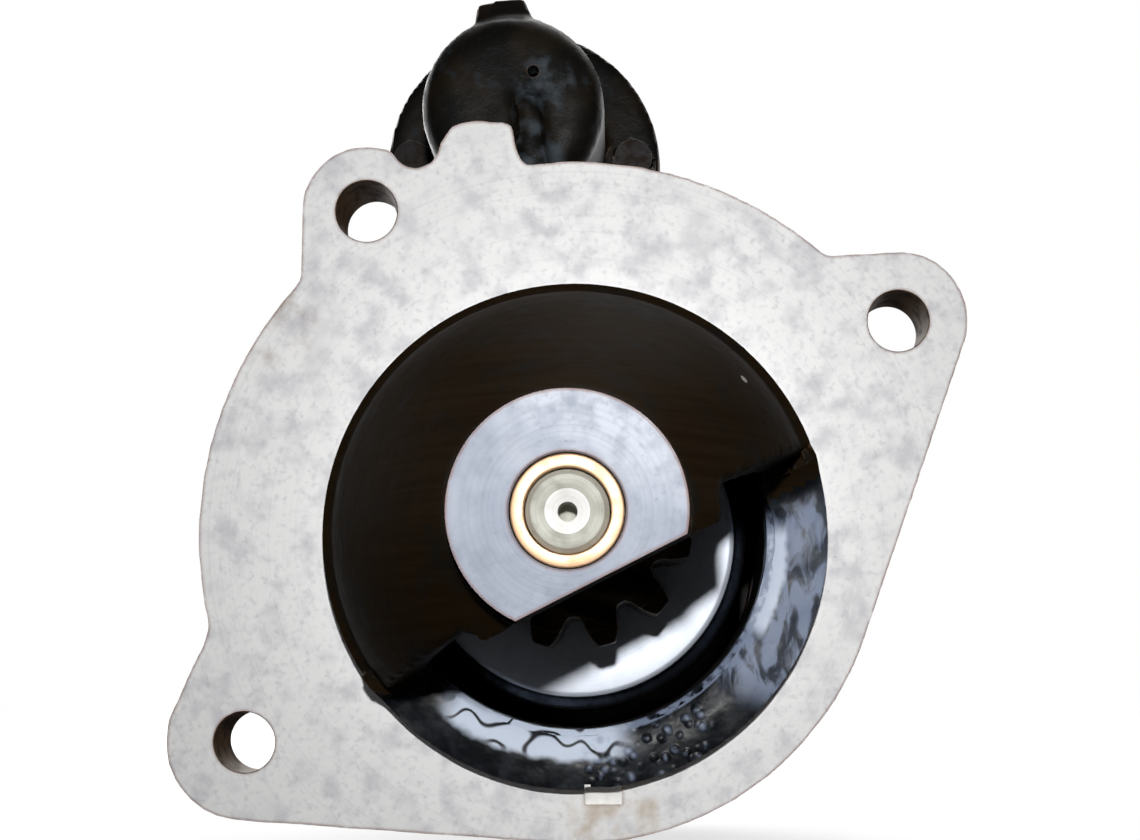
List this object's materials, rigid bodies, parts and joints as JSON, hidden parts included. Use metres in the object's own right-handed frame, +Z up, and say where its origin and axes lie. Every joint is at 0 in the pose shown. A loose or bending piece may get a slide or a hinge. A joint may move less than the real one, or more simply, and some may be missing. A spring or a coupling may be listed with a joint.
{
  "type": "starter motor",
  "caption": "Pre-engaged engine starter motor with a flange-mounted nose, a windowed pinion, a sliding clutch drive, and a solenoid and lever on top.",
  "frame": {"origin": "middle of the rear boss's end face, on the shaft line", "axes": "-Y along the shaft towards the nose and pinion, which is also the mounting flange's outward normal; +Z up and +X to the right, as seen looking at the flange"},
  "size_m": [0.1429, 0.27, 0.1811],
  "materials": {
    "bracket_casting": "black painted casting with machined, unpainted mating faces",
    "black_paint": "gloss black paint, worn at edges",
    "bronze": "sintered bronze",
    "steel": "turned steel",
    "oiled_steel": "dark oiled steel",
    "zinc_plate": "bright zinc plate",
    "spring_steel": "tempered spring steel",
    "copper": "bare copper",
    "brass": "turned brass",
    "moulding": "dark moulded phenolic",
    "insulation_tape": "varnished tape",
    "carbon": "pressed copper-carbon"
  },
  "bodies": {
    "frame": {"drive_end_bracket": "bracket_casting", "nose_bush": "bronze", "intermediate_bracket": "black_paint", "intermediate_bush": "bronze", "yoke": "black_paint", "pole_shoe_1": "steel", "pole_shoe_2": "steel", "pole_shoe_3": "steel", "pole_shoe_4": "steel", "pole_screw_1": "steel", "pole_screw_2": "steel", "pole_screw_3": "steel", "pole_screw_4": "steel", "field_coil_set": "insulation_tape", "field_terminal_stud": "brass", "field_terminal_bush": "moulding", "field_terminal_nut": "brass", "terminal_link": "copper", "commutator_end_bracket": "black_paint", "commutator_end_bush": "bronze", "through_bolt_1": "zinc_plate", "through_bolt_2": "zinc_plate", "brush_plate": "zinc_plate", "cover_band": "black_paint", "cover_band_screw": "zinc_plate", "solenoid_body": "black_paint", "solenoid_coil": "insulation_tape", "solenoid_core": "steel", "solenoid_cap": "moulding", "battery_terminal_stud": "copper", "battery_terminal_nut": "brass", "motor_terminal_stud": "copper", "motor_terminal_nut": "brass", "switch_blade": "brass", "solenoid_screw_1": "zinc_plate", "solenoid_screw_2": "zinc_plate", "pivot_pin": "zinc_plate", "pivot_nut": "zinc_plate", "return_spring": "spring_steel"},
    "armature": {"armature_shaft": "steel", "armature_core": "oiled_steel", "armature_windings": "copper", "commutator": "copper", "thrust_collar": "steel"},
    "drive_ring": {"operating_ring": "steel"},
    "clutch": {"clutch_housing": "zinc_plate", "sleeve_lock_ring": "steel"},
    "drive_pinion": {"pinion": "oiled_steel"},
    "lever": {"engaging_lever": "oiled_steel"},
    "solenoid_plunger": {"plunger": "steel", "clevis_pin": "steel"},
    "contact": {"moving_contact": "copper"},
    "brush_1": {"brush_1": "carbon"},
    "brush_spring_1": {"brush_spring_1": "spring_steel"},
    "brush_2": {"brush_2": "carbon"},
    "brush_spring_2": {"brush_spring_2": "spring_steel"},
    "brush_3": {"brush_3": "carbon"},
    "brush_spring_3": {"brush_spring_3": "spring_steel"},
    "brush_4": {"brush_4": "carbon"},
    "brush_spring_4": {"brush_spring_4": "spring_steel"}
  },
  "joints": [
    {"name": "armature_spin", "type": "hinge", "parent": "frame", "child": "armature", "pos_m": [0, -0.122, 0], "axis": [0, 1, 0], "continuous": true},
    {"name": "drive_slide", "type": "slide", "parent": "frame", "child": "drive_ring", "axis": [0, -1, 0], "range_m": [0, 0.014]},
    {"name": "clutch_spin", "type": "hinge", "parent": "drive_ring", "child": "clutch", "pos_m": [0, -0.21, 0], "axis": [0, 1, 0], "continuous": true},
    {"name": "pinion_overrun", "type": "hinge", "parent": "clutch", "child": "drive_pinion", "pos_m": [0, -0.23, 0], "axis": [0, 1, 0], "continuous": true},
    {"name": "lever_swing", "type": "hinge", "parent": "frame", "child": "lever", "pos_m": [-0.00739, -0.185, 0.04945], "axis": [-0.989, 0, -0.1478], "range_deg": [0, 16.1]},
    {"name": "plunger_slide", "type": "slide", "parent": "frame", "child": "solenoid_plunger", "axis": [0, 1, 0], "range_m": [0, 0.00965], "deforming": ["return_spring"]},
    {"name": "contact_slide", "type": "slide", "parent": "frame", "child": "contact", "axis": [0, 1, 0], "range_m": [0, 0.00151]},
    {"name": "brush_1_lift", "type": "slide", "parent": "frame", "child": "brush_1", "axis": [0.5948, 0, 0.8039], "range_m": [0, 0.004]},
    {"name": "brush_spring_1_swing", "type": "hinge", "parent": "frame", "child": "brush_spring_1", "pos_m": [0.00717, -0.0415, 0.03575], "axis": [0, -1, 0], "range_deg": [0, 14.4]},
    {"name": "brush_2_lift", "type": "slide", "parent": "frame", "child": "brush_2", "axis": [-0.8039, 0, 0.5948], "range_m": [0, 0.004]},
    {"name": "brush_spring_2_swing", "type": "hinge", "parent": "frame", "child": "brush_spring_2", "pos_m": [-0.03575, -0.0415, 0.00717], "axis": [0, -1, 0], "range_deg": [0, 14.4]},
    {"name": "brush_3_lift", "type": "slide", "parent": "frame", "child": "brush_3", "axis": [-0.5948, 0, -0.8039], "range_m": [0, 0.004]},
    {"name": "brush_spring_3_swing", "type": "hinge", "parent": "frame", "child": "brush_spring_3", "pos_m": [-0.00717, -0.0415, -0.03575], "axis": [0, -1, 0], "range_deg": [0, 14.4]},
    {"name": "brush_4_lift", "type": "slide", "parent": "frame", "child": "brush_4", "axis": [0.8039, 0, -0.5948], "range_m": [0, 0.004]},
    {"name": "brush_spring_4_swing", "type": "hinge", "parent": "frame", "child": "brush_spring_4", "pos_m": [0.03575, -0.0415, -0.00717], "axis": [0, -1, 0], "range_deg": [0, 14.4]}
  ],
  "couplings": [
    {"joint": "clutch_spin", "follows": "armature_spin", "ratio": 1},
    {"joint": "lever_swing", "follows": "drive_slide", "rad_per_m": 20},
    {"joint": "plunger_slide", "follows": "drive_slide", "ratio": 0.686},
    {"joint": "contact_slide", "follows": "drive_slide", "ratio": 0.10714},
    {"joint": "brush_spring_1_swing", "follows": "brush_1_lift", "rad_per_m": 62.5},
    {"joint": "brush_spring_2_swing", "follows": "brush_2_lift", "rad_per_m": 62.5},
    {"joint": "brush_spring_3_swing", "follows": "brush_3_lift", "rad_per_m": 62.5},
    {"joint": "brush_spring_4_swing", "follows": "brush_4_lift", "rad_per_m": 62.5}
  ]
}
